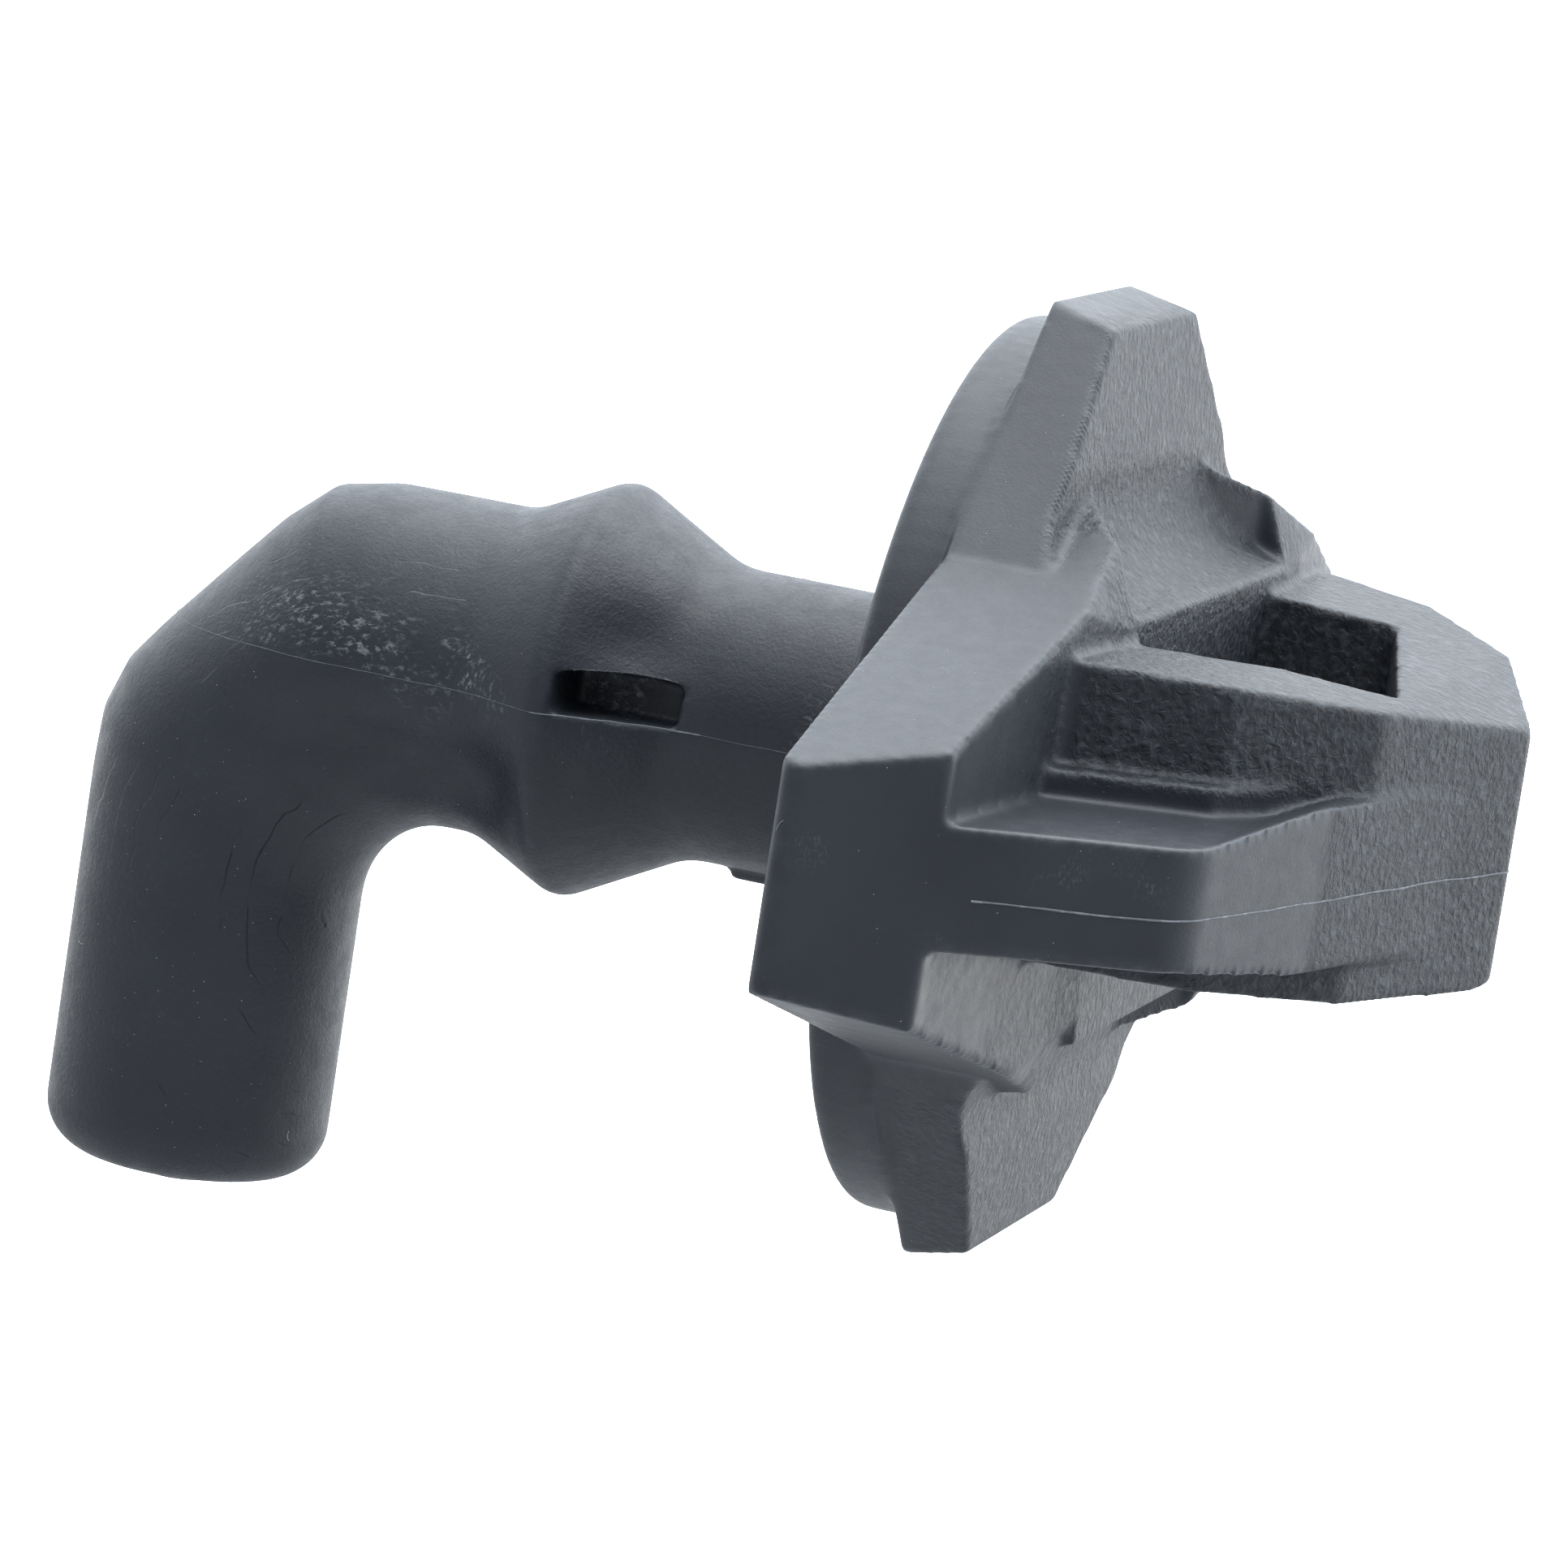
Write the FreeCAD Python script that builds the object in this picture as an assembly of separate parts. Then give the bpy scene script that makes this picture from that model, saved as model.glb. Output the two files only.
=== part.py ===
"""Cleat horn: a moulded plastic line horn on a snap-in, winged arrowhead.

Millimetres.  +X runs along the neck towards the nose of the head, +Y is the
left-hand side seen from behind the horn, +Z is up.  The origin is the centre
of the flange disc's outer face, on the axis of the neck.

The real part is one moulding.  Here it is divided at its natural boundaries,
so every functional portion is a closed solid that meets its neighbours face
to face.
"""
import FreeCAD, Part
import math
import os

V = FreeCAD.Vector

# --- horn -------------------------------------------------------------------
NECK_R = 4.45            # round neck between the flange disc and the stop ridge
RIDGE_R = 6.4            # crest of the double-cone stop ridge
RIDGE_X = -11.2          # crest station
RIDGE_REAR = 3.7         # length of the cone that faces the disc
RIDGE_FRONT = 2.85       # length of the cone that faces the elbow
SHANK_R = 5.0
CREST_ROUND = 0.7
REAR_BLEND = 2.6         # concave blend at the foot of the rear cone
FRONT_BLEND = 2.0        # concave blend at the foot of the front cone
ROOM_FOR_BLEND = 4.0     # a blend needs at least its radius over this of plain shank
NOTCH_SET = 0.45         # the notch starts this far behind the crest
NOTCH_LENGTH = 3.4       # square notch in each flank of the ridge
NOTCH_HEIGHT = 1.25
NOTCH_BITE = 0.9         # the notch's floor lies this far inside the neck's radius
SHANK_STUB = 0.25        # plain shank kept ahead of the front cone's foot, on the ridge piece
NECK_STUB = 0.35         # plain neck kept behind the rear cone's foot, on the ridge piece

THROAT_X = -15.05        # centre of the throat's curve between the shank and the arm
ARM_R = 4.35
ARM_END_Z = -16.9
ARM_END_ROUND = 1.6
GATE_R = 1.45            # stub left by the moulding gate on the arm's end
GATE_STUB = 0.4
THROAT_R = 2.9           # inside radius of that curve
FACET_SET = 2.0          # the elbow's flat facet leaves the shank's top this far ahead of the arm's axis
FACET_FALL = 1.14        # the facet falls this much per millimetre towards the arm
ELBOW_STEPS = 12
RING_POINTS = 40         # points that each of the elbow's sections is drawn through
CORNER_SHARPNESS = 28.0  # higher makes the facet's two corners crisper

KEY_LENGTH = 6.2         # thin key under the neck
KEY_WIDTH = 0.9
KEY_DROP = 0.35
KEY_SINK = 0.3           # the key starts this far inside the neck, before it is trimmed to it

# --- head -------------------------------------------------------------------
DISC_R = 13.5
DISC_T = 1.9
DISC_ROUND = 0.45
DISC_LET_IN = 0.1        # the disc is let into the backs of the wings and teeth by this much

TOOTH_TIP_TOP = 14.5     # height of the upper tooth
TOOTH_TIP_FLOOR = 14.05  # depth of the lower tooth
TOOTH_TIP_Y = 4.3        # half-width at the tip
TOOTH_TIP_T = 2.15       # thickness at the tip
TOOTH_FOOT_T = 2.6       # thickness where the scoop starts
TOOTH_BEVEL = 0.55       # the tip's end face falls this much towards the nose
TOOTH_ROUND = 0.9
KINK_Y = 11.75           # where a tooth's flank meets the wing
SCOOP_START_Z = 9.9
SCOOP_SAG = 0.22         # depth of the scoop's arc as a share of its chord
SCOOP_DEEPEST = 0.45     # where along the chord it is deepest
SCOOP_ROOT_Y = 6.2       # half-width of the scoop at the teeth
SCOOP_FLARE_X = 6.1      # it flares out to the hub's width by this station

HUB_X = 7.15             # front wall of the hub
HUB_Y = 8.9
HUB_TOP = 6.45           # hub's height at its front wall
HUB_FLOOR = 6.0          # hub's depth at its front wall

WING_Y = 25.7            # half-span at the seat face
WING_END_Z = 3.05        # half-height of a wing's end
WING_ROOT_Y = 8.25       # station where the root height and depth are taken
WING_ROOT_TOP = 8.75
WING_ROOT_FLOOR = 7.8
WING_X = 6.1             # front face of a wing at its end; at the hub it reaches HUB_X
WING_SPLAY_IN = 3.7      # the front face turns forward inside this station
WING_SHOULDER = 2.7      # the front top and bottom edges of the root slope back over this height
WING_END_ROUND = 0.5

RIB_TOP = 1.95           # the rib along each side, above and below the parting plane
RIB_FLOOR = -1.55
RIB_NOSE_TOP = 2.65      # its thicker front stretch
RIB_NOSE_FLOOR = -2.15
RIB_RAMP = 1.6           # length over which it thickens
RIB_BEND_X = 12.2        # the rib turns in towards the nose here
RIB_BEND_Y = 19.0
RIB_BEND_ROUND = 2.6
RIB_TIP_X = 16.2         # it runs out in the nose's flank here
RIB_TIP_Y = 2.7
RIB_TIP_ROUND = 0.6

NOSE_X = 17.1            # the nose's corner, before it is rounded
NOSE_ROUND = 1.1
NOSE_MID_X = 14.45
NOSE_MID_Y = 8.4
CHEEK_X = 11.0
CHEEK_Y = 12.5
CHEEK_ROUND = 1.5
CHEEK_ROOT_Y = 15.0
NOSE_TOP_ROOT = 5.85
NOSE_TOP_CHEEK = 5.6
NOSE_TOP_MID = 5.1
NOSE_TOP_TIP = 4.2
NOSE_FLOOR_ROOT = -2.75
NOSE_FLOOR_TIP = -3.6
NOSE_EDGE_ROUND = 0.5
STEP_Z = 2.85            # low step along the foot of each cheek
STEP_OUT = 0.8
STEP_SHORT = 0.9         # the step ends this far behind the nose's middle corner
STEP_LIFT = 0.3          # and its underside lies this far above the nose's

WINDOW_RIGHT_Y = -9.1
WINDOW_FRONT_RIGHT = (14.0, -5.2)
WINDOW_FRONT_LEFT = (11.2, 6.6)
WINDOW_ROUND = 0.5

FAR = 60.0               # larger than the whole part
os.makedirs("parts", exist_ok=True)


# --- helpers ----------------------------------------------------------------
def mirrored(half):
    """Close an outline given for y >= 0 by adding its mirror image."""
    return half + [(x, -y) for x, y in reversed(half) if abs(y) > 1e-9]


def corner_arc(before, corner, after, radius):
    """Points where an arc of this radius leaves and joins the two sides, and its middle."""
    into = (before - corner).normalize()
    out = (after - corner).normalize()
    half_angle = into.getAngle(out) / 2
    reach = radius / math.tan(half_angle)
    middle_way = (into + out).normalize()
    centre = corner + middle_way * (radius / math.sin(half_angle))
    return corner + into * reach, centre - middle_way * radius, corner + out * reach


def outline_face(points, rounds):
    """Planar face through the points, each corner rounded by its radius (0 = sharp)."""
    count = len(points)
    stops = []
    for i, (corner, radius) in enumerate(zip(points, rounds)):
        if radius > 0:
            stops.append(corner_arc(points[i - 1], corner, points[(i + 1) % count], radius))
        else:
            stops.append((corner, None, corner))
    edges = []
    for i, (start, middle, end) in enumerate(stops):
        if middle is not None:
            edges.append(Part.Arc(start, middle, end).toShape())
        following = stops[(i + 1) % count][0]
        if end.distanceToPoint(following) > 1e-6:
            edges.append(Part.LineSegment(end, following).toShape())
    return Part.Face(Part.Wire(edges))


def prism_x(points, rounds, x0, x1):
    """Outline in (y, z), extruded along X."""
    face = outline_face([V(x0, y, z) for y, z in points], rounds)
    return face.extrude(V(x1 - x0, 0, 0))


def prism_y(points, rounds, half):
    """Outline in (x, z), extruded both ways along Y."""
    face = outline_face([V(x, -half, z) for x, z in points], rounds)
    return face.extrude(V(0, 2 * half, 0))


def prism_z(points, rounds, z0, z1):
    """Outline in (x, y), extruded along Z."""
    face = outline_face([V(x, y, z0) for x, y in points], rounds)
    return face.extrude(V(0, 0, z1 - z0))


def slab(x0, x1, y0, y1, z0, z1):
    return Part.makeBox(x1 - x0, y1 - y0, z1 - z0, V(x0, y0, z0))


def flipped(shape):
    """Copy mirrored from the upper half to the lower half."""
    return shape.mirror(V(0, 0, 0), V(0, 0, 1))


def cylinder_x(radius, x0, x1):
    return Part.makeCylinder(radius, x1 - x0, V(x0, 0, 0), V(1, 0, 0))


# --- horn -------------------------------------------------------------------
arm_x = THROAT_X - THROAT_R - ARM_R
facet_x = arm_x + FACET_SET
pivot_z = -SHANK_R - THROAT_R


def outer_reach(angle):
    """Distance from the throat's centre to the elbow's outside, at an angle from +Z to -X."""
    up, back = math.cos(angle), math.sin(angle)
    reaches = []
    if up > 1e-6:
        reaches.append((SHANK_R - pivot_z) / up)
    if back > 1e-6:
        reaches.append((THROAT_X - (arm_x - ARM_R)) / back)
    facet = (SHANK_R - pivot_z) + FACET_FALL * (THROAT_X - facet_x)
    reaches.append(facet / (up + FACET_FALL * back))
    blend = sum(reach ** -CORNER_SHARPNESS for reach in reaches)
    return blend ** (-1 / CORNER_SHARPNESS)


def elbow_section(step):
    """One ellipse of the fan of sections that turns the shank down into the arm."""
    angle = step / ELBOW_STEPS * math.pi / 2
    direction = V(-math.sin(angle), 0, math.cos(angle))
    if step == 0:
        outer = SHANK_R - pivot_z
    elif step == ELBOW_STEPS:
        outer = THROAT_X - (arm_x - ARM_R)
    else:
        outer = outer_reach(angle)
    share = math.sin(angle) ** 2
    width = SHANK_R * (1 - share) + ARM_R * share
    centre = V(THROAT_X, 0, pivot_z) + direction * ((THROAT_R + outer) / 2)
    depth = (outer - THROAT_R) / 2
    ring = []
    for k in range(RING_POINTS):
        a = 2 * math.pi * k / RING_POINTS
        ring.append(centre + direction * (depth * math.cos(a)) + V(0, width * math.sin(a), 0))
    curve = Part.BSplineCurve()
    curve.interpolate(Points=ring, PeriodicFlag=True)
    return Part.Wire([curve.toShape()])


def horn_elbow():
    """Straight-sided bands between neighbouring sections, so the surface can't bulge."""
    return Part.makeLoft([elbow_section(step) for step in range(ELBOW_STEPS + 1)], True, True)


def horn_arm():
    top = pivot_z
    arm = Part.makeCylinder(ARM_R, top - ARM_END_Z, V(arm_x, 0, ARM_END_Z), V(0, 0, 1))
    rim = [e for e in arm.Edges if abs(e.BoundBox.ZMax - ARM_END_Z) < 1e-6]
    arm = arm.makeFillet(ARM_END_ROUND, rim)
    gate = Part.makeCylinder(GATE_R, 2 * GATE_STUB, V(arm_x, 0, ARM_END_Z - GATE_STUB), V(0, 0, 1))
    return arm.fuse(gate)


def turned_horn():
    """Shank, double-cone ridge and neck as one turned body."""
    rear_foot = RIDGE_X + RIDGE_REAR
    front_foot = RIDGE_X - RIDGE_FRONT
    front_blend = min(FRONT_BLEND, ROOM_FOR_BLEND * (front_foot - THROAT_X))
    profile = [V(THROAT_X, 0, 0), V(THROAT_X, 0, SHANK_R), V(front_foot, 0, SHANK_R),
               V(RIDGE_X, 0, RIDGE_R), V(rear_foot, 0, NECK_R), V(0, 0, NECK_R), V(0, 0, 0)]
    face = Part.Face(Part.makePolygon(profile + profile[:1]))
    body = face.revolve(V(0, 0, 0), V(1, 0, 0), 360)

    def ring(shape, x, radius):
        return [e for e in shape.Edges if e.Closed and abs(e.BoundBox.XMin - x) < 1e-4
                and abs(e.BoundBox.XMax - x) < 1e-4 and abs(e.Curve.Radius - radius) < 1e-4]

    for x, radius, blend in ((RIDGE_X, RIDGE_R, CREST_ROUND), (rear_foot, NECK_R, REAR_BLEND),
                             (front_foot, SHANK_R, front_blend)):
        body = body.makeFillet(blend, ring(body, x, radius))
    for side in (-1, 1):
        y0, y1 = sorted((side * (NECK_R - NOTCH_BITE), side * FAR))
        notch = slab(RIDGE_X + NOTCH_SET, RIDGE_X + NOTCH_SET + NOTCH_LENGTH, y0, y1, 0, NOTCH_HEIGHT)
        body = body.cut(notch)
    return body


def horn_pieces():
    body = turned_horn()
    front = RIDGE_X - RIDGE_FRONT - SHANK_STUB
    rear = RIDGE_X + RIDGE_REAR + NECK_STUB
    key = slab(-KEY_LENGTH, 0, -KEY_WIDTH / 2, KEY_WIDTH / 2, -NECK_R - KEY_DROP, -NECK_R + KEY_SINK)
    return {
        "horn_arm": horn_arm(),
        "horn_elbow": horn_elbow(),
        "horn_shank": body.common(slab(-FAR, front, -FAR, FAR, -FAR, FAR)),
        "stop_ridge": body.common(slab(front, rear, -FAR, FAR, -FAR, FAR)),
        "horn_neck": body.common(slab(rear, FAR, -FAR, FAR, -FAR, FAR)),
        "neck_key": key.cut(body),
    }


# --- head -------------------------------------------------------------------
def flange_disc():
    disc = cylinder_x(DISC_R, 0, DISC_T + DISC_LET_IN)
    rim = [e for e in disc.Edges if e.Closed and abs(e.BoundBox.XMax) < 1e-6]
    return disc.makeFillet(DISC_ROUND, rim)


def side_profile(tip_height, hub_height):
    """Tooth, scoop and hub seen from the side, for z >= 0."""
    scoop_top = V(DISC_T + TOOTH_FOOT_T, -FAR, SCOOP_START_Z)
    scoop_end = V(HUB_X, -FAR, hub_height)
    chord = scoop_end - scoop_top
    inward = V(-1, 0, -1).normalize()
    bulge = scoop_top + chord * SCOOP_DEEPEST + inward * (SCOOP_SAG * chord.Length)
    points = [V(DISC_T, -FAR, 0), V(DISC_T, -FAR, tip_height),
              V(DISC_T + TOOTH_TIP_T, -FAR, tip_height - TOOTH_BEVEL), scoop_top]
    edges = [Part.LineSegment(a, b).toShape() for a, b in zip(points, points[1:])]
    edges.append(Part.Arc(scoop_top, bulge, scoop_end).toShape())
    edges.append(Part.LineSegment(scoop_end, V(HUB_X, -FAR, 0)).toShape())
    edges.append(Part.LineSegment(V(HUB_X, -FAR, 0), points[0]).toShape())
    return Part.Face(Part.Wire(edges)).extrude(V(0, 2 * FAR, 0))


def wing_height(y, root):
    """Height of a wing at this distance from the middle, given its height at the root."""
    slope = (root - WING_END_Z) / (WING_Y - WING_ROOT_Y)
    return WING_END_Z + (WING_Y - y) * slope


def hub_zone(bottom, top):
    """The hub's plan: as wide as the scoop at the teeth, flaring to the hub's full width."""
    half = [(DISC_T, SCOOP_ROOT_Y), (DISC_T + TOOTH_FOOT_T, SCOOP_ROOT_Y), (SCOOP_FLARE_X, HUB_Y),
            (HUB_X, HUB_Y)]
    return prism_z(mirrored(half), [0] * 8, bottom, top)


def outer_plan():
    """Outer edge of the wings and ribs seen from above, as a tall prism."""
    half = [(DISC_T, WING_Y), (RIB_BEND_X, RIB_BEND_Y), (RIB_TIP_X, RIB_TIP_Y)]
    rounds = [WING_END_ROUND, RIB_BEND_ROUND, RIB_TIP_ROUND]
    return prism_z(mirrored(half), rounds + rounds[::-1], -FAR, FAR)


def wing_front():
    """Everything behind the wings' front faces, with the sloping shoulders of their roots."""
    half = [(DISC_T, FAR), (WING_X, FAR), (WING_X, WING_Y - WING_SPLAY_IN), (HUB_X, HUB_Y)]
    plan = prism_z(mirrored(half), [0] * 8, -FAR, FAR)
    shoulder_top, shoulder_floor = WING_ROOT_TOP - WING_SHOULDER, WING_ROOT_FLOOR - WING_SHOULDER
    side = [(DISC_T, WING_ROOT_TOP + FAR), (WING_X, WING_ROOT_TOP + FAR), (WING_X, WING_ROOT_TOP),
            (HUB_X, shoulder_top), (HUB_X, -shoulder_floor), (WING_X, -WING_ROOT_FLOOR),
            (WING_X, -WING_ROOT_FLOOR - FAR), (DISC_T, -WING_ROOT_FLOOR - FAR)]
    return plan.common(prism_y(side, [0] * 8, 2 * FAR))


def both_wings():
    """Left and right wing, from the hub to the tips."""
    beyond = WING_Y + 1
    inner = SCOOP_ROOT_Y
    section = [(beyond, wing_height(beyond, WING_ROOT_TOP)), (inner, wing_height(inner, WING_ROOT_TOP)),
               (inner, -wing_height(inner, WING_ROOT_FLOOR)),
               (beyond, -wing_height(beyond, WING_ROOT_FLOOR))]
    limits = outer_plan().common(wing_front())
    wings = []
    for side in (1, -1):
        points = [(side * y, z) for y, z in section]
        wing = prism_x(points, [0] * 4, DISC_T, HUB_X).common(limits)
        wings.append(wing.cut(hub_zone(-FAR, FAR)))
    return wings


def nose_body():
    """Solid arrowhead of the nose, before the window."""
    half = [(DISC_T, CHEEK_ROOT_Y), (WING_X, CHEEK_ROOT_Y), (CHEEK_X, CHEEK_Y), (NOSE_MID_X, NOSE_MID_Y),
            (NOSE_X, 0)]
    rounds = [0, 0, CHEEK_ROUND, CHEEK_ROUND, NOSE_ROUND]
    plan = prism_z(mirrored(half), rounds + rounds[-2::-1], -FAR, FAR)
    side = [(WING_X, NOSE_TOP_ROOT), (CHEEK_X, NOSE_TOP_CHEEK), (NOSE_MID_X, NOSE_TOP_MID),
            (NOSE_X, NOSE_TOP_TIP), (NOSE_X, NOSE_FLOOR_TIP), (WING_X, NOSE_FLOOR_ROOT)]
    edge_rounds = [0, 0, 0, NOSE_EDGE_ROUND, NOSE_EDGE_ROUND, 0]
    return plan.common(prism_y(side, edge_rounds, FAR))


def cheek_step():
    """Low step along the foot of both cheeks."""
    half = [(WING_X, CHEEK_ROOT_Y + STEP_OUT), (CHEEK_X, CHEEK_Y + STEP_OUT),
            (NOSE_MID_X - STEP_SHORT, NOSE_MID_Y + STEP_OUT)]
    return prism_z(mirrored(half), [0] * 6, NOSE_FLOOR_ROOT + STEP_LIFT, STEP_Z)


def window():
    """Opening between the cheeks, right through from top to bottom."""
    points = [(HUB_X, WINDOW_RIGHT_Y), WINDOW_FRONT_RIGHT, WINDOW_FRONT_LEFT,
              (HUB_X, WINDOW_FRONT_LEFT[1])]
    return prism_z(points, [0, WINDOW_ROUND, WINDOW_ROUND, 0], -FAR, FAR)


def rib_body():
    """Flat rib round both sides, thicker in its front stretch."""
    ramp_end = RIB_BEND_X + RIB_RAMP
    side = [(DISC_T, RIB_TOP), (RIB_BEND_X, RIB_TOP), (ramp_end, RIB_NOSE_TOP),
            (FAR, RIB_NOSE_TOP), (FAR, RIB_NOSE_FLOOR), (ramp_end, RIB_NOSE_FLOOR),
            (RIB_BEND_X, RIB_FLOOR), (DISC_T, RIB_FLOOR)]
    return outer_plan().common(prism_y(side, [0] * 8, FAR))


def tooth(tip_height, wing_root):
    """One tapered tooth over the full depth of the head, pointing up."""
    kink = (KINK_Y, wing_height(KINK_Y, wing_root))
    half = [(SCOOP_ROOT_Y, 0), (SCOOP_ROOT_Y, kink[1]), kink, (TOOTH_TIP_Y, tip_height)]
    points = half + [(-y, z) for y, z in reversed(half)]
    plate = prism_x(points, [0, 0, 0, TOOTH_ROUND, TOOTH_ROUND, 0, 0, 0], DISC_T, HUB_X)
    return plate.fuse(hub_zone(0, wing_height(HUB_Y, wing_root)))


def head_pieces():
    left, right = slab(-FAR, FAR, 0, FAR, -FAR, FAR), slab(-FAR, FAR, -FAR, 0, -FAR, FAR)
    disc = flange_disc()
    wings = both_wings()
    wing_pair = wings[0].fuse(wings[1])

    core = hub_zone(-HUB_FLOOR, HUB_TOP)
    top = side_profile(TOOTH_TIP_TOP, HUB_TOP)
    bottom = flipped(side_profile(TOOTH_TIP_FLOOR, HUB_FLOOR))
    hub = core.common(top.fuse(bottom))
    around = core.fuse(wing_pair).fuse(disc)
    upper = tooth(TOOTH_TIP_TOP, WING_ROOT_TOP).common(top).cut(around)
    lower = flipped(tooth(TOOTH_TIP_FLOOR, WING_ROOT_FLOOR)).common(bottom).cut(around)

    cavity = window()
    nose = nose_body().fuse(cheek_step()).removeSplitter()
    nose = nose.cut(hub_zone(-FAR, FAR)).cut(cavity).cut(wing_front())
    front = WINDOW_FRONT_RIGHT[0]
    boundary = [(front, -FAR), WINDOW_FRONT_RIGHT, WINDOW_FRONT_LEFT,
                (front, WINDOW_FRONT_LEFT[1]), (front, FAR), (FAR, FAR), (FAR, -FAR)]
    tip_zone = prism_z(boundary, [0] * 7, -FAR, FAR)
    cheeks = nose.cut(tip_zone)
    rib = rib_body().cut(wing_pair).cut(nose).cut(cavity).cut(hub_zone(-FAR, FAR))
    return {
        "flange_disc": disc,
        "head_hub": hub.cut(disc),
        "upper_tooth": upper,
        "lower_tooth": lower,
        "left_wing": wings[0].cut(disc),
        "right_wing": wings[1].cut(disc),
        "left_cheek": cheeks.common(left),
        "right_cheek": cheeks.common(right),
        "nose_tip": nose.common(tip_zone),
        "left_rib": rib.common(left),
        "right_rib": rib.common(right),
    }


def main():
    pieces = {**horn_pieces(), **head_pieces()}
    total = 0.0
    for name, shape in pieces.items():
        solids = shape.Solids
        shape = solids[0] if len(solids) == 1 else Part.makeCompound(solids)
        box = shape.BoundBox
        total += shape.Volume
        print("%-12s solids %d valid %s volume %8.1f  x %6.2f %6.2f  y %6.2f %6.2f  z %6.2f %6.2f"
              % (name, len(solids), shape.isValid(), shape.Volume, box.XMin, box.XMax,
                 box.YMin, box.YMax, box.ZMin, box.ZMax))
        shape.exportStep("parts/%s.step" % name)
    print("nodes %d, total volume %.0f mm3" % (len(pieces), total))


main()
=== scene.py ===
import math

import bmesh
import bpy
import numpy as np
from mathutils import Matrix, Vector


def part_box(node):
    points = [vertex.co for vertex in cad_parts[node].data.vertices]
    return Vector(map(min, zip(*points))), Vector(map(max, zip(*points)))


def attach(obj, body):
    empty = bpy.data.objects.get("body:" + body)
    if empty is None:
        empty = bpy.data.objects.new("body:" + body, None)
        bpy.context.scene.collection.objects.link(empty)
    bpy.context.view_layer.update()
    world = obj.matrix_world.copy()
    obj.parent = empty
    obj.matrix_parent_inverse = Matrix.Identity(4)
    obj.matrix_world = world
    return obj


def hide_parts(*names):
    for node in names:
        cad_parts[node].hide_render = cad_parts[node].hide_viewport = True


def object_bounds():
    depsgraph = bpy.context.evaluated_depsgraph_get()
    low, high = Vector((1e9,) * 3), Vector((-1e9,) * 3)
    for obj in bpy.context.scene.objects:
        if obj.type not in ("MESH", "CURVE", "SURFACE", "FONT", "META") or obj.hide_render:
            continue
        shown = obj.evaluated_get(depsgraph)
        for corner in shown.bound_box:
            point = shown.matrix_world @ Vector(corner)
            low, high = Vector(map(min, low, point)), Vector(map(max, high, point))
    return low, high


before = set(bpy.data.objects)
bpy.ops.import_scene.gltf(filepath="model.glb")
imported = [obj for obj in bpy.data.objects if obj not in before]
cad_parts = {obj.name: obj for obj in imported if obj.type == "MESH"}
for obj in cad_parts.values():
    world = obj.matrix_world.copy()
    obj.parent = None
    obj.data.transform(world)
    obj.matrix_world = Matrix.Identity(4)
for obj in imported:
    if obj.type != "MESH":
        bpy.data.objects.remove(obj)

mm = 0.001
cadLow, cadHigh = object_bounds()
scene = bpy.context.scene
scene.view_settings.view_transform = "Standard"
print("frame loaded:", len(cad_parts), "nodes")

# what a user would change, one dictionary for each piece
shot = {"azimuth": 15.9, "elevation": 9.3, "roll": 8.8, "distance": 241.2 * mm, "lens": 186.3,
        "aim": (-4.6 * mm, -1.55 * mm, -1.45 * mm)}
studio = {"floorDrop": 60 * mm, "floorSpan": 6.0, "floorTone": (0.95, 0.955, 0.96),
          "floorShade": (0.30, 0.305, 0.31), "glowReach": (0.02, 0.45), "backGlow": 1.5,
          "skyTone": (0.88, 0.94, 1.0), "frontShade": 0.03, "backShade": 2.1, "topShade": 1.5,
          "skyTurn": (-0.45, 0.75), "skyRise": (0.1, 0.95), "seenSky": 1.0}
softboxes = {                                # place, width and height in metres, and power in watts
    "overheadBox": ((0.05, 0.02, 0.42), 0.5, 0.4, 1.3),
    "leftBox": ((-0.42, -0.12, 0.16), 0.22, 0.3, 0.10),
    "rightBox": ((0.45, -0.02, 0.2), 0.2, 0.3, 0.10)}
hornForm = {"nodes": ("horn_arm", "horn_elbow", "horn_shank", "stop_ridge", "horn_neck", "neck_key"),
            "grid": 0.115 * mm, "easing": 10, "most": 195000}
hollows = {                                  # shrink hollows: centre, reach and depth in millimetres
    "valley": ((-16.4, 4.5, -2.4), (3.4, 2.6, 1.0), 0.42),
    "besideRidge": ((-12.9, 4.6, -3.0), (1.1, 2.4, 1.5), 0.40),
    "elbowFlank": ((-19.3, 4.6, -0.6), (2.6, 2.6, 1.5), -0.10),
    "aboveNotch": ((-9.0, 4.6, 2.3), (1.7, 1.7, 1.3), 0.35)}
headForm = {"nodes": ("flange_disc", "head_hub", "upper_tooth", "lower_tooth", "left_wing", "right_wing",
                      "left_rib", "right_rib", "left_cheek", "right_cheek", "nose_tip"),
            "grid": 0.13 * mm, "easing": 9, "most": 195000}
edgeWear = {"rounds": 3, "gain": 14.0, "offset": 0.25}
sparkZone = {                                # distances in millimetres, slopes as parts of a normal
    "faceOn": 0.45, "toothSlope": 0.4, "toothAhead": 0.4, "toothSide": 4.0, "scoopSide": 1.5,
    "scoopAhead": 1.2, "flankBelow": 1.5, "flankAhead": 0.3, "wingSlope": 0.6, "wingNear": 0.6,
    "tipReach": 2.0, "tipAmount": 0.35, "flankAmount": 0.4, "wingAmount": 0.4, "softening": 3}
hornWear = {"rubHeight": 0.9, "rubSpread": 1.3, "rubFrom": (-22.0, 2.0), "creaseFrom": (-12.5, 3.0),
            "creaseSide": 1.5, "dustFrom": (-17.5, 3.0), "dustLeast": 0.2}
headDustiness = 0.22
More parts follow.
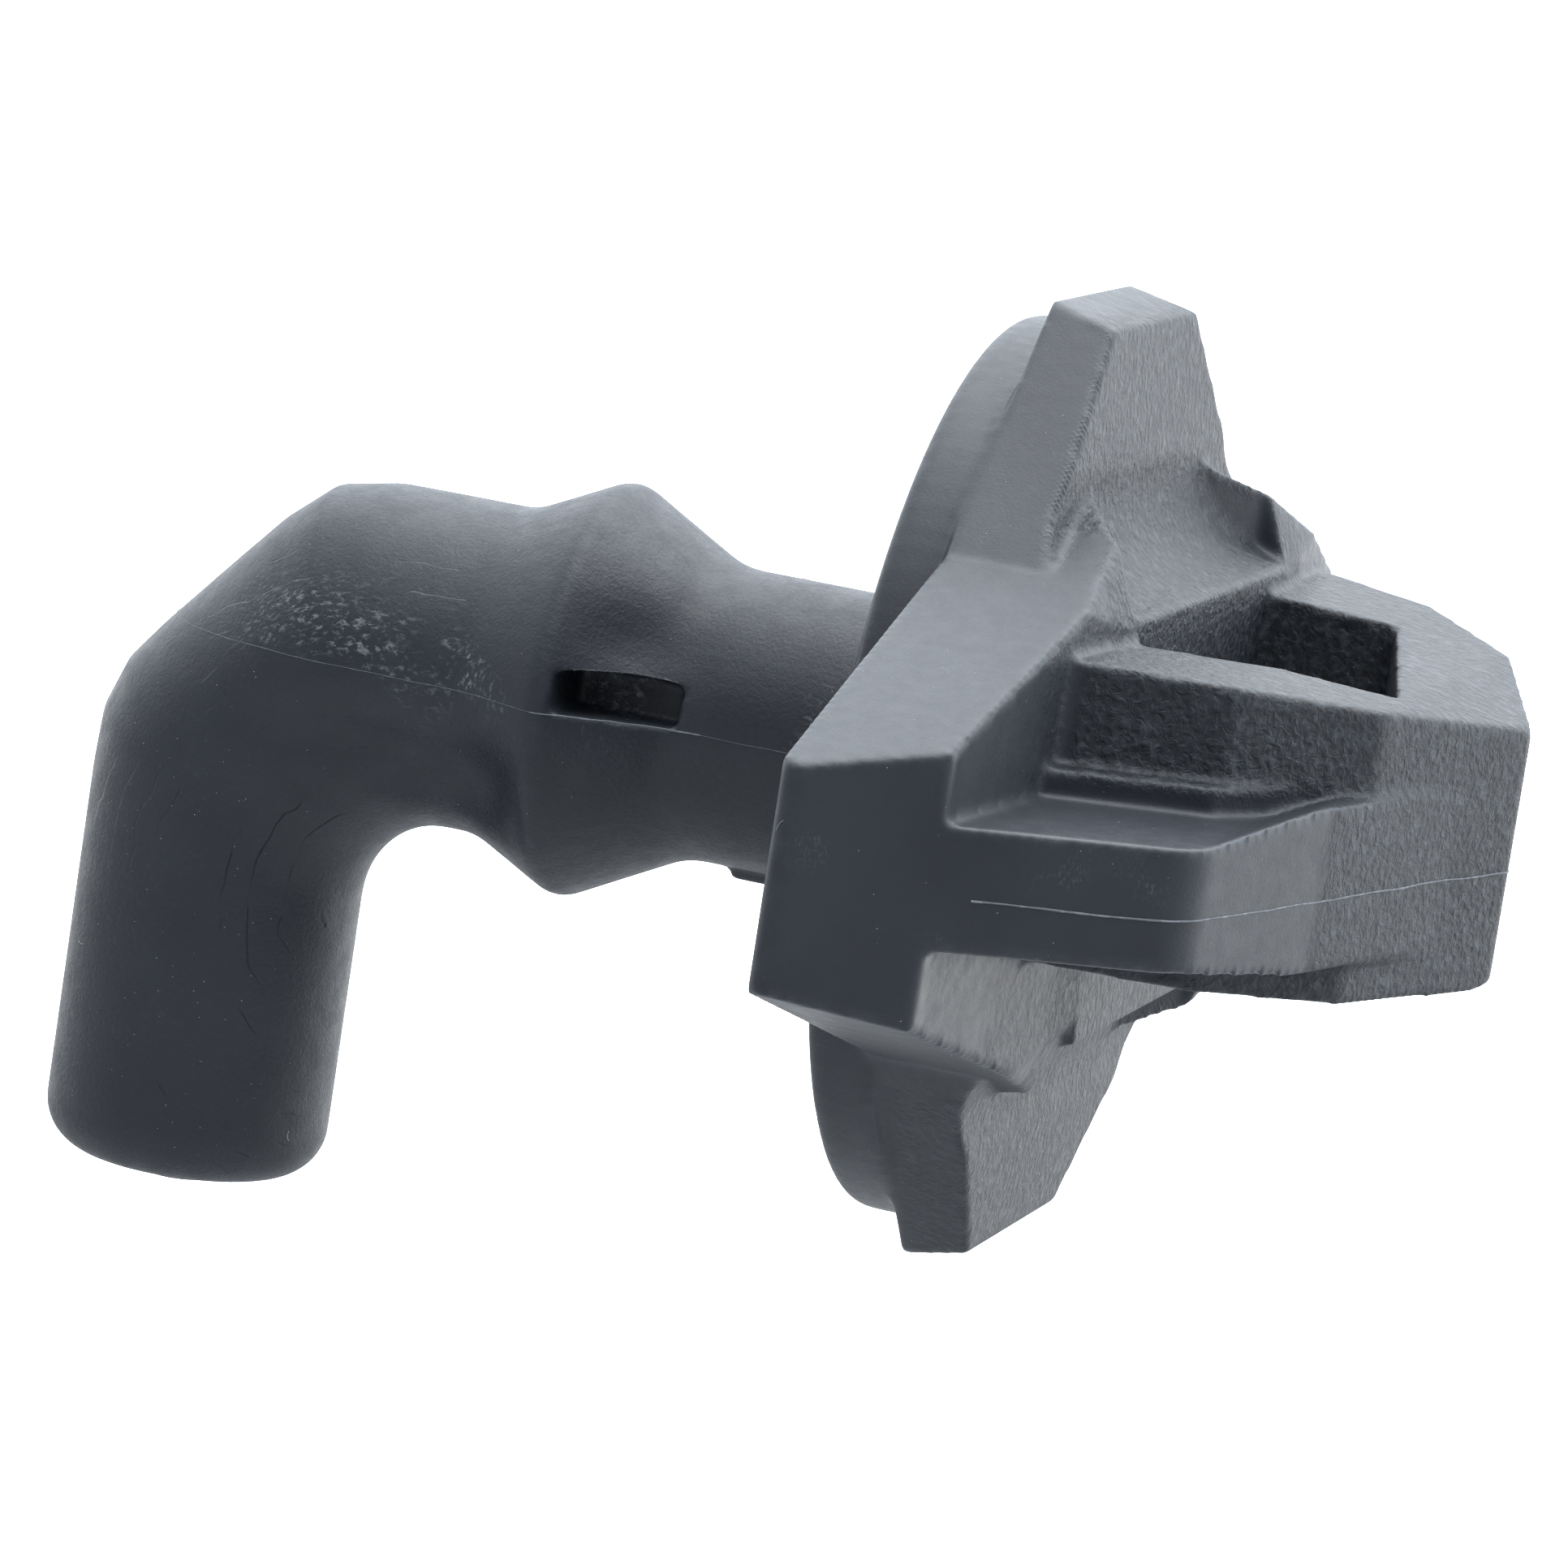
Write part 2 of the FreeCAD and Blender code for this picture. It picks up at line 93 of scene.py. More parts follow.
seamForm = {"step": 0.12 * mm, "waver": 1.5, "waverSize": 1500.0, "wander": 0.14 * mm,
            "wanderSize": 420.0, "faint": 0.3, "level": -0.04 * mm, "sides": 7, "seed": 4}
seamRuns = {                                 # along X in millimetres, and where the flash is proud
    "horn": {"span": (-27.0, 0.2), "proud": (-11.3, -6.5), "thick": 0.028 * mm},
    "head": {"span": (6.9, 17.2), "proud": (6.9, 17.2), "thick": 0.030 * mm}}
dustForm = {"perSquare": 1.1e6, "size": 0.014 * mm, "least": (0.35, 0.35, 0.3), "most": (1.4, 1.1, 0.7),
            "seed": 23}
lintForm = {"perSquare": 2.6e4, "length": 0.42 * mm, "thick": 0.0065 * mm, "least": (0.5, 0.3, 1.0),
            "most": (1.3, 1.2, 1.0), "start": (-0.5, 0.0, 0.0), "middle": (0.05, 0.35, 0.06),
            "end": (0.5, -0.05, 0.0), "points": 8, "sides": 5, "seed": 11}


# ---- node groups shared by the plastics

def groupSocket(tree, name, way, kind, value=None):
    socket = tree.interface.new_socket(name=name, in_out=way, socket_type=kind)
    if value is not None:
        socket.default_value = value


def newGroup(name, inputs, outputs):
    tree = bpy.data.node_groups.new(name, "ShaderNodeTree")
    for label, kind, value in inputs:
        groupSocket(tree, label, "INPUT", kind, value)
    for label, kind in outputs:
        groupSocket(tree, label, "OUTPUT", kind)
    return tree, tree.nodes.new("NodeGroupInput"), tree.nodes.new("NodeGroupOutput")


def mathNode(tree, operation, a, b=None, clamp=False):
    node = tree.nodes.new("ShaderNodeMath")
    node.operation = operation
    node.use_clamp = clamp
    for slot, value in ((0, a), (1, b)):
        if value is None:
            continue
        if isinstance(value, (int, float)):
            node.inputs[slot].default_value = value
        else:
            tree.links.new(value, node.inputs[slot])
    return node.outputs[0]


def noiseNode(tree, vector, scale, detail=2.0, roughness=0.5, distortion=0.0):
    node = tree.nodes.new("ShaderNodeTexNoise")
    tree.links.new(vector, node.inputs["Vector"])
    for label, value in (("Scale", scale), ("Detail", detail), ("Roughness", roughness),
                         ("Distortion", distortion)):
        if isinstance(value, (int, float)):
            node.inputs[label].default_value = value
        else:
            tree.links.new(value, node.inputs[label])
    return node.outputs["Fac"]


def rangeNode(tree, value, low, high, toLow=0.0, toHigh=1.0):
    node = tree.nodes.new("ShaderNodeMapRange")
    node.interpolation_type = "SMOOTHSTEP"
    tree.links.new(value, node.inputs["Value"])
    for label, number in (("From Min", low), ("From Max", high), ("To Min", toLow), ("To Max", toHigh)):
        node.inputs[label].default_value = number
    return node.outputs["Result"]


def mixColour(tree, amount, a, b):
    node = tree.nodes.new("ShaderNodeMix")
    node.data_type = "RGBA"
    for slot, value in ((0, amount), (6, a), (7, b)):
        if isinstance(value, (int, float)):
            node.inputs[slot].default_value = value
        elif isinstance(value, tuple):
            node.inputs[slot].default_value = (*value, 1.0)
        else:
            tree.links.new(value, node.inputs[slot])
    return node.outputs[2]


def satinGrainGroup():                       # fine leathery grain of a moulded surface
    tree, given, made = newGroup("satinGrain", [("Place", "NodeSocketVector", None),
                                                ("Size", "NodeSocketFloat", 11000.0)],
                                 [("Height", "NodeSocketFloat")])
    fine = noiseNode(tree, given.outputs["Place"], given.outputs["Size"], 3.0, 0.6, 0.6)
    wideScale = mathNode(tree, "MULTIPLY", given.outputs["Size"], 0.16)
    wide = noiseNode(tree, given.outputs["Place"], wideScale, 2.0, 0.5)
    both = mathNode(tree, "ADD", mathNode(tree, "MULTIPLY", fine, 0.65),
                    mathNode(tree, "MULTIPLY", wide, 0.5))
    tree.links.new(both, made.inputs["Height"])
    return tree


def sparkTextureGroup():                     # pebbled skin left by a spark-eroded mould
    tree, given, made = newGroup("sparkTexture", [("Place", "NodeSocketVector", None),
                                                  ("Size", "NodeSocketFloat", 5200.0)],
                                 [("Height", "NodeSocketFloat")])
    cells = tree.nodes.new("ShaderNodeTexVoronoi")
    cells.feature = "SMOOTH_F1"
    cells.inputs["Smoothness"].default_value = 0.8
    tree.links.new(given.outputs["Place"], cells.inputs["Vector"])
    tree.links.new(given.outputs["Size"], cells.inputs["Scale"])
    rough = noiseNode(tree, given.outputs["Place"], given.outputs["Size"], 4.0, 0.62, 0.9)
    pits = mathNode(tree, "MULTIPLY", cells.outputs["Distance"], 0.55)
    tree.links.new(mathNode(tree, "ADD", pits, rough), made.inputs["Height"])
    return tree


def scuffGroup():                            # pale rubbed patches broken up by fine streaks
    tree, given, made = newGroup("scuffs", [("Place", "NodeSocketVector", None),
                                            ("Size", "NodeSocketFloat", 260.0),
                                            ("Reach", "NodeSocketFloat", 0.62)],
                                 [("Amount", "NodeSocketFloat")])
    patch = noiseNode(tree, given.outputs["Place"], given.outputs["Size"], 3.0, 0.6, 0.4)
    inside = mathNode(tree, "MULTIPLY", mathNode(tree, "SUBTRACT", patch, given.outputs["Reach"]),
                      9.0, clamp=True)
    stretch = tree.nodes.new("ShaderNodeMapping")
    stretch.inputs["Rotation"].default_value = (0.3, 0.9, 0.5)
    stretch.inputs["Scale"].default_value = (1.0, 5.0, 1.6)
    tree.links.new(given.outputs["Place"], stretch.inputs["Vector"])
    streakSize = mathNode(tree, "MULTIPLY", given.outputs["Size"], 14.0)
    streaks = noiseNode(tree, stretch.outputs["Vector"], streakSize, 4.0, 0.7)
    fine = rangeNode(tree, streaks, 0.5, 0.68)
    tree.links.new(mathNode(tree, "MULTIPLY", inside, fine), made.inputs["Amount"])
    return tree


def edgeRubGroup():                          # convex edges rub smoother and a little paler
    tree, given, made = newGroup("edgeRub", [("Place", "NodeSocketVector", None),
                                             ("Edge", "NodeSocketFloat", 0.0),
                                             ("Strength", "NodeSocketFloat", 0.6)],
                                 [("Amount", "NodeSocketFloat")])
    broken = rangeNode(tree, noiseNode(tree, given.outputs["Place"], 1400.0, 4.0, 0.65), 0.34, 0.66)
    rub = mathNode(tree, "MULTIPLY", given.outputs["Edge"], broken)
    tree.links.new(mathNode(tree, "MULTIPLY", rub, given.outputs["Strength"], clamp=True),
                   made.inputs["Amount"])
    return tree


def flowLineGroup():                         # fine curved creases where the plastic met in the mould
    tree, given, made = newGroup("flowLines", [("Place", "NodeSocketVector", None),
                                               ("Centre", "NodeSocketVector", None),
                                               ("Spacing", "NodeSocketFloat", 0.0008),
                                               ("Waver", "NodeSocketFloat", 0.0014)],
                                 [("Amount", "NodeSocketFloat")])
    gap, flat, away = (tree.nodes.new("ShaderNodeVectorMath") for _ in range(3))
    gap.operation, flat.operation, away.operation = "SUBTRACT", "MULTIPLY", "LENGTH"
    tree.links.new(given.outputs["Place"], gap.inputs[0])
    tree.links.new(given.outputs["Centre"], gap.inputs[1])
    flat.inputs[1].default_value = (1.0, 0.0, 1.0)           # the distance is measured in X and Z only
    tree.links.new(gap.outputs[0], flat.inputs[0])
    tree.links.new(flat.outputs[0], away.inputs[0])
    bend = mathNode(tree, "MULTIPLY", noiseNode(tree, given.outputs["Place"], 230.0, 3.0, 0.6),
                    given.outputs["Waver"])
    turns = mathNode(tree, "DIVIDE", mathNode(tree, "ADD", away.outputs["Value"], bend),
                     given.outputs["Spacing"])
    crease = rangeNode(tree, mathNode(tree, "FRACT", turns), 0.93, 0.985)
    kept = rangeNode(tree, noiseNode(tree, given.outputs["Place"], 420.0, 2.0, 0.5), 0.56, 0.66)
    tree.links.new(mathNode(tree, "MULTIPLY", crease, kept), made.inputs["Amount"])
    return tree


groups = {"flow": flowLineGroup(), "satin": satinGrainGroup(), "spark": sparkTextureGroup(),
          "scuffs": scuffGroup(), "edgeRub": edgeRubGroup()}


def placeGroup(tree, key, place, **values):
    node = tree.nodes.new("ShaderNodeGroup")
    node.node_tree = groups[key]
    tree.links.new(place, node.inputs["Place"])
    for label, value in values.items():
        if isinstance(value, (int, float, tuple)):
            node.inputs[label].default_value = value
        else:
            tree.links.new(value, node.inputs[label])
    return node.outputs[0]


def attributeFac(tree, name):
    node = tree.nodes.new("ShaderNodeAttribute")
    node.attribute_name = name
    return node.outputs["Fac"]


def mouldedPlastic(name, finish):
    material = bpy.data.materials.new(name)
    material.use_nodes = True
    tree = material.node_tree
    shader = tree.nodes["Principled BSDF"]
    place = tree.nodes.new("ShaderNodeTexCoord").outputs["Object"]
    shader.inputs["IOR"].default_value = finish["ior"]

    satin = placeGroup(tree, "satin", place, Size=finish["grainSize"])
    rubbed = mathNode(tree, "ADD", attributeFac(tree, "rubbed"), finish["scuffElsewhere"])
    scuffs = placeGroup(tree, "scuffs", place, Size=finish["scuffSize"], Reach=finish["scuffReach"])
    scuffs = mathNode(tree, "MULTIPLY", scuffs, rubbed, clamp=True)
    rub = placeGroup(tree, "edgeRub", place, Edge=attributeFac(tree, "edge"), Strength=finish["edgeRub"])
    flow = placeGroup(tree, "flow", place, Centre=finish["flowCentre"])
    flow = mathNode(tree, "MULTIPLY", flow, attributeFac(tree, "creased"))
    drift = noiseNode(tree, place, finish["driftSize"], 3.0, 0.55)

    tone = mixColour(tree, rangeNode(tree, drift, 0.3, 0.7), finish["dark"], finish["light"])
    tone = mixColour(tree, mathNode(tree, "MULTIPLY", scuffs, finish["scuffPale"]), tone, finish["scuffTone"])
    tone = mixColour(tree, rub, tone, finish["rubTone"])
    # painted shade: the flow-line creases are darkened in colour, as well as cut in by the bump
    tone = mixColour(tree, mathNode(tree, "MULTIPLY", flow, finish["flowShadeAmount"]), tone, finish["flowShadeTone"])
    height = mathNode(tree, "MULTIPLY", satin, finish["grainDepth"])
    height = mathNode(tree, "SUBTRACT", height, mathNode(tree, "MULTIPLY", flow, finish["flowDepth"]))
    rough = rangeNode(tree, satin, 0.35, 0.8, *finish["gloss"])
    if finish["sparkDepth"] > 0:
        spark = placeGroup(tree, "spark", place, Size=finish["sparkSize"])
        mask = attributeFac(tree, "spark")
        deep = mathNode(tree, "MULTIPLY", mathNode(tree, "MULTIPLY", spark, finish["sparkDepth"]), mask)
        height = mathNode(tree, "ADD", height, deep)
        rough = mathNode(tree, "ADD", rough, mathNode(tree, "MULTIPLY", mask, finish["sparkRough"]))
        # painted shade: the pits of the spark texture are darkened in colour
        pits = mathNode(tree, "MULTIPLY", rangeNode(tree, spark, 0.55, 0.95, 0.85, 0.0), mask)
        tone = mixColour(tree, pits, tone, finish["pitShadeTone"])
        # painted glints: the peaks of the spark texture are paled in colour
        peakGlint = mathNode(tree, "MULTIPLY", rangeNode(tree, spark, 0.8, 1.05, 0.0, 0.6), mask)
        tone = mixColour(tree, peakGlint, tone, finish["peakGlintTone"])
    scuffed = mathNode(tree, "MULTIPLY", scuffs, finish["scuffRough"])
    rough = mathNode(tree, "ADD", rough, scuffed, clamp=True)
    tree.links.new(tone, shader.inputs["Base Color"])
    tree.links.new(rough, shader.inputs["Roughness"])
    bump = tree.nodes.new("ShaderNodeBump")
    bump.inputs["Strength"].default_value = 1.0
    bump.inputs["Distance"].default_value = finish["relief"]
    tree.links.new(height, bump.inputs["Height"])
    tree.links.new(bump.outputs["Normal"], shader.inputs["Normal"])
    return material


# the flow tone paints shade into the flow-line creases
hornFinish = {"ior": 1.5, "grainSize": 8000.0, "grainDepth": 1.0, "relief": 0.034 * mm,
              "gloss": (0.36, 0.52), "driftSize": 150.0, "dark": (0.022, 0.026, 0.034),
              "light": (0.032, 0.037, 0.046), "scuffSize": 230.0, "scuffReach": 0.50, "scuffPale": 0.75,
              "scuffTone": (0.30, 0.32, 0.35), "scuffRough": 0.12, "scuffElsewhere": 0.05, "edgeRub": 0.35,
              "rubTone": (0.085, 0.095, 0.11), "flowCentre": (-15.05 * mm, 0.0, -7.9 * mm),
              "flowShadeAmount": 0.7, "flowShadeTone": (0.006, 0.007, 0.009), "flowDepth": 1.6, "sparkDepth": 0.0}
# the pit and peak tones paint shade into the spark-texture pits and glints onto its peaks
headFinish = dict(hornFinish, grainSize=12000.0, grainDepth=0.26, relief=0.05 * mm, gloss=(0.34, 0.45),
                  scuffSize=300.0, scuffReach=0.62, scuffPale=0.4, scuffElsewhere=0.5, edgeRub=0.45,
                  sparkDepth=1.6, sparkSize=3600.0, sparkRough=0.05, pitShadeTone=(0.012, 0.014, 0.018),
                  peakGlintTone=(0.075, 0.085, 0.10))


# ---- skins: the CAD portions joined into one continuous moulding

def frozen(item):                            # the evaluated mesh, with the modifiers taken off
    graph = bpy.context.evaluated_depsgraph_get()
    data = bpy.data.meshes.new_from_object(item.evaluated_get(graph))
    item.modifiers.clear()
    item.data = data
    return item


def joinedNodes(name, nodes):                # one solid from copies of the CAD portions
    others = bpy.data.collections.new("others")
    scene.collection.children.link(others)
    copies = [bpy.data.objects.new(name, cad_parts[node].data.copy()) for node in nodes]
    for copy in copies:
        copy.data.materials.clear()
    for copy in copies[1:]:
        others.objects.link(copy)
    scene.collection.objects.link(copies[0])
    union = copies[0].modifiers.new("union", "BOOLEAN")
    union.operation = "UNION"
    union.operand_type = "COLLECTION"
    union.collection = others
    union.solver = "EXACT"
    frozen(copies[0])
    for copy in copies[1:]:
        bpy.data.objects.remove(copy)
    bpy.data.collections.remove(others)
    return copies[0]


def mouldedSkin(name, form):
    item = joinedNodes(name, form["nodes"])
    remesh = item.modifiers.new("remesh", "REMESH")
    remesh.mode = "VOXEL"
    remesh.voxel_size = form["grid"]
    ease = item.modifiers.new("ease", "SMOOTH")
    ease.factor = 0.5
    ease.iterations = form["easing"]
    faces = len(frozen(item).data.polygons) * 2              # each quad is two triangles
    if faces > form["most"]:
        thin = item.modifiers.new("thin", "DECIMATE")
        thin.ratio = form["most"] / faces
        frozen(item)
    item.data.polygons.foreach_set("use_smooth", [True] * len(item.data.polygons))
    return item


def vertexTable(data):
    places = np.empty(len(data.vertices) * 3)
    normals = np.empty(len(data.vertices) * 3)
    data.vertices.foreach_get("co", places)
    data.vertices.foreach_get("normal", normals)
    return places.reshape(-1, 3), normals.reshape(-1, 3)


def edgePairs(data):
    pairs = np.empty(len(data.edges) * 2, dtype=np.int64)
    data.edges.foreach_get("vertices", pairs)
    return pairs.reshape(-1, 2)


def neighbourMean(pairs, values):
    total = np.zeros_like(values)
    count = np.zeros(len(values))
    for a, b in ((0, 1), (1, 0)):
        np.add.at(total, pairs[:, a], values[pairs[:, b]])
        np.add.at(count, pairs[:, a], 1.0)
    return total / (count[:, None] if values.ndim == 2 else count)


def writeAttribute(data, name, values):
    layer = data.attributes.new(name, "FLOAT", "POINT")
    layer.data.foreach_set("value", values.astype(np.float32))


def markEdges(data, grid):                   # convexity, from 0 on flats to 1 on worn edges
    places, normals = vertexTable(data)
    pairs = edgePairs(data)
    lean = places - neighbourMean(pairs, places)
    bend = (lean * normals).sum(axis=1) / grid
    for _ in range(edgeWear["rounds"]):
        bend = neighbourMean(pairs, bend)
    writeAttribute(data, "edge", np.clip(bend * edgeWear["gain"] - edgeWear["offset"], 0.0, 1.0))


def softSink(places, normals, centre, reach, depth):
    offset = (places - np.array(centre)) / np.array(reach)
    fall = np.exp(-(offset ** 2).sum(axis=1))                # fades smoothly away from the centre
    return places - normals * (fall * depth)[:, None]


def keepInside(item):                        # never past the CAD's own box
    places, _ = vertexTable(item.data)
    inner = 1e-5 * mm                        # room for rounding
    places = np.clip(places, np.array(cadLow) + inner, np.array(cadHigh) - inner)
    item.data.vertices.foreach_set("co", places.ravel())
    item.data.update()


def shapeHorn(item):                         # shrink hollows on both flanks
    places, normals = vertexTable(item.data)
    for centre, reach, depth in hollows.values():
        for side in (-1, 1):
            spot = np.array((centre[0], side * centre[1], centre[2])) * mm
            places = softSink(places, normals, spot, np.array(reach) * mm, depth * mm)
    item.data.vertices.foreach_set("co", places.ravel())
    item.data.update()


def markSparkSkin(item):                     # where the mould was spark-eroded
    places, normals = vertexTable(item.data)
    pairs = edgePairs(item.data)
    x, y, z = (places / mm).T
    nx, ny, nz = normals.T
    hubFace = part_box("head_hub")[1].x / mm
    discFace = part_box("flange_disc")[1].x / mm
    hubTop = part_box("head_hub")[1].z / mm
    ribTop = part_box("left_rib")[1].z / mm
    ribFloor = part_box("left_rib")[0].z / mm
    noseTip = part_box("nose_tip")[1].x / mm
    zone = sparkZone
    offRib = (z > ribTop) | (z < ribFloor)
    onNose = (x > hubFace) & offRib
    faceOn = np.abs(ny) < zone["faceOn"]
    teethFront = (nx > zone["toothSlope"]) & (x > discFace + zone["toothAhead"]) & faceOn
    teethFront &= np.abs(y) < hubFace + zone["toothSide"]
    scoop = (np.abs(y) < hubFace + zone["scoopSide"]) & (x > discFace + zone["scoopAhead"])
    scoop &= faceOn & (nz > 0.0)
    lowerFlank = (z < -hubTop - zone["flankBelow"]) & (x > discFace + zone["flankAhead"])
    wingFront = (nx > zone["wingSlope"]) & (np.abs(x - hubFace) < zone["wingNear"])
    noseEnd = x > noseTip - zone["tipReach"]
    mask = np.zeros(len(x))
    mask[noseEnd] = zone["tipAmount"]
    mask[lowerFlank] = zone["flankAmount"]
    mask[wingFront] = zone["wingAmount"]
    mask[onNose | teethFront | scoop] = 1.0
    for _ in range(zone["softening"]):
        mask = neighbourMean(pairs, mask)
    writeAttribute(item.data, "spark", mask)


def rampDown(x, start):                      # 0 ahead of the start, 1 after the run behind it
    place, run = start
    return np.clip((place - x) / run, 0.0, 1.0)


def markHorn(item):                          # where the horn is scuffed, creased with flow lines that also get painted shade, and dusty
    places, _ = vertexTable(item.data)
    x, y, z = (places / mm).T
    band = np.exp(-((z - hornWear["rubHeight"]) / hornWear["rubSpread"]) ** 2) * (y < 0)
    rubPlace, rubRun = hornWear["rubFrom"]
    writeAttribute(item.data, "rubbed", band * np.clip((x - rubPlace) / rubRun, 0.0, 1.0))
    beside = np.abs(y) > hornWear["creaseSide"]
    writeAttribute(item.data, "creased", rampDown(x, hornWear["creaseFrom"]) * beside)
    least = hornWear["dustLeast"]
    writeAttribute(item.data, "dusty", least + (1.0 - least) * rampDown(x, hornWear["dustFrom"]))


def markHead(item):
    writeAttribute(item.data, "dusty", np.full(len(item.data.vertices), headDustiness))


hornSkin = mouldedSkin("hornSkin", hornForm)
shapeHorn(hornSkin)
keepInside(hornSkin)
markEdges(hornSkin.data, hornForm["grid"])
markHorn(hornSkin)
print("horn skin:", len(hornSkin.data.polygons), "faces")
headSkin = mouldedSkin("headSkin", headForm)
keepInside(headSkin)
markEdges(headSkin.data, headForm["grid"])
markSparkSkin(headSkin)
markHead(headSkin)
print("head skin:", len(headSkin.data.polygons), "faces")

skins = {"horn": (hornSkin, hornForm, hornFinish, "horn_plastic"),
         "head": (headSkin, headForm, headFinish, "textured_plastic")}
for label, (skin, form, finish, skinSlot) in skins.items():
    skin.data.materials.append(mouldedPlastic(label + "Plastic", finish))
    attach(skin, "root")
    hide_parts(*form["nodes"])
print("skins in place")


# ---- what follows a line or repeats, grown with Geometry Nodes

def newForm(name, inputs):
    tree = bpy.data.node_groups.new(name, "GeometryNodeTree")
    groupSocket(tree, "Geometry", "INPUT", "NodeSocketGeometry")
    for label, kind, value in inputs + [("Seed", "NodeSocketInt", 0), ("Finish", "NodeSocketMaterial", None)]:
        groupSocket(tree, label, "INPUT", kind, value)
    groupSocket(tree, "Geometry", "OUTPUT", "NodeSocketGeometry")
    return tree, tree.nodes.new("NodeGroupInput").outputs, tree.nodes.new("NodeGroupOutput").inputs[0]


def addStep(tree, kind, inputs, **settings):
    node = tree.nodes.new(kind)
    for key, value in settings.items():
        setattr(node, key, value)
    for label, value in inputs.items():
        if isinstance(value, bpy.types.NodeSocket):
            tree.links.new(value, node.inputs[label])
        else:
            node.inputs[label].default_value = value
    return node


def endForm(tree, made, shape, finish):
    real = addStep(tree, "GeometryNodeRealizeInstances", {"Geometry": shape}).outputs[0]
    smooth = addStep(tree, "GeometryNodeSetShadeSmooth", {"Geometry": real}).outputs[0]
    done = addStep(tree, "GeometryNodeSetMaterial", {"Geometry": smooth, "Material": finish}).outputs[0]
    tree.links.new(done, made)
    return tree


def sweep(tree, line, radius, sides):
    ring = addStep(tree, "GeometryNodeCurvePrimitiveCircle", {"Resolution": sides, "Radius": 1.0}).outputs[0]
    return addStep(tree, "GeometryNodeCurveToMesh",
                   {"Curve": line, "Profile Curve": ring, "Scale": radius, "Fill Caps": True}).outputs[0]


def readAttribute(tree, name):
    return addStep(tree, "GeometryNodeInputNamedAttribute", {"Name": name}, data_type="FLOAT").outputs[0]


def seamTree():                              # a thin uneven flash along a line of points
    tree, given, made = newForm("seam", [("Step", "NodeSocketFloat", 0.0), ("Waver", "NodeSocketFloat", 0.0),
                                         ("Wander", "NodeSocketFloat", 0.0)])
    line = addStep(tree, "GeometryNodeMeshToCurve", {"Mesh": given["Geometry"]}).outputs[0]
    line = addStep(tree, "GeometryNodeResampleCurve", {"Curve": line, "Length": given["Step"]},
                   mode="LENGTH").outputs[0]
    spot = tree.nodes.new("GeometryNodeInputPosition").outputs[0]
    noise = addStep(tree, "ShaderNodeTexNoise",
                    {"Vector": spot, "W": given["Seed"], "Scale": seamForm["waverSize"]},
                    noise_dimensions="4D").outputs["Fac"]
    swing = mathNode(tree, "MULTIPLY", mathNode(tree, "SUBTRACT", noise, 0.5), given["Waver"])
    radius = mathNode(tree, "MULTIPLY", readAttribute(tree, "thick"), mathNode(tree, "ADD", swing, 1.0))
    drift = addStep(tree, "ShaderNodeTexNoise",
                    {"Vector": spot, "W": given["Seed"], "Scale": seamForm["wanderSize"]},
                    noise_dimensions="4D").outputs["Fac"]
    rise = mathNode(tree, "MULTIPLY", mathNode(tree, "SUBTRACT", drift, 0.5), given["Wander"])
    offset = addStep(tree, "ShaderNodeCombineXYZ", {"Z": rise}).outputs[0]
    line = addStep(tree, "GeometryNodeSetPosition", {"Geometry": line, "Offset": offset}).outputs[0]
    return endForm(tree, made, sweep(tree, line, radius, seamForm["sides"]), given["Finish"])


def scatterPoints(tree, given):
    density = mathNode(tree, "MULTIPLY", readAttribute(tree, "dusty"), given["Per Square"])
    return addStep(tree, "GeometryNodeDistributePointsOnFaces",
                   {"Mesh": given["Geometry"], "Density": density, "Seed": given["Seed"]})


def randomVector(tree, low, high, seed):
    return addStep(tree, "FunctionNodeRandomValue", {"Min": low, "Max": high, "Seed": seed},
                   data_type="FLOAT_VECTOR").outputs[0]


def dustTree():                              # specks lying on a skin
    tree, given, made = newForm("dust", [("Per Square", "NodeSocketFloat", 0.0),
                                         ("Size", "NodeSocketFloat", 0.0)])
    points = scatterPoints(tree, given)
    speck = addStep(tree, "GeometryNodeMeshIcoSphere", {"Radius": 1.0, "Subdivisions": 1}).outputs[0]
    spread = randomVector(tree, dustForm["least"], dustForm["most"], given["Seed"])
    size = addStep(tree, "ShaderNodeVectorMath", {"Vector": spread, "Scale": given["Size"]},
                   operation="SCALE").outputs[0]
    placed = addStep(tree, "GeometryNodeInstanceOnPoints",
                     {"Points": points.outputs["Points"], "Instance": speck,
                      "Rotation": points.outputs["Rotation"], "Scale": size}).outputs[0]
    return endForm(tree, made, placed, given["Finish"])


def lintTree():                              # short bent fibres lying on a skin
    tree, given, made = newForm("lint", [("Per Square", "NodeSocketFloat", 0.0),
                                         ("Length", "NodeSocketFloat", 0.0),
                                         ("Thick", "NodeSocketFloat", 0.0)])
    points = scatterPoints(tree, given)
    bend = addStep(tree, "GeometryNodeCurveQuadraticBezier",
                   {"Start": lintForm["start"], "Middle": lintForm["middle"], "End": lintForm["end"],
                    "Resolution": lintForm["points"]}).outputs[0]
    slim = mathNode(tree, "DIVIDE", given["Thick"], given["Length"])
    fibre = sweep(tree, bend, slim, lintForm["sides"])
    placed = addStep(tree, "GeometryNodeInstanceOnPoints",
                     {"Points": points.outputs["Points"], "Instance": fibre,
                      "Rotation": points.outputs["Rotation"]}).outputs[0]
    turn = randomVector(tree, (0.0, 0.0, 0.0), (0.0, 0.0, math.tau), given["Seed"])
    placed = addStep(tree, "GeometryNodeRotateInstances", {"Instances": placed, "Rotation": turn}).outputs[0]
    stretch = randomVector(tree, lintForm["least"], lintForm["most"], given["Seed"])
    size = addStep(tree, "ShaderNodeVectorMath", {"Vector": stretch, "Scale": given["Length"]},
                   operation="SCALE").outputs[0]
    placed = addStep(tree, "GeometryNodeScaleInstances", {"Instances": placed, "Scale": size}).outputs[0]
    return endForm(tree, made, placed, given["Finish"])


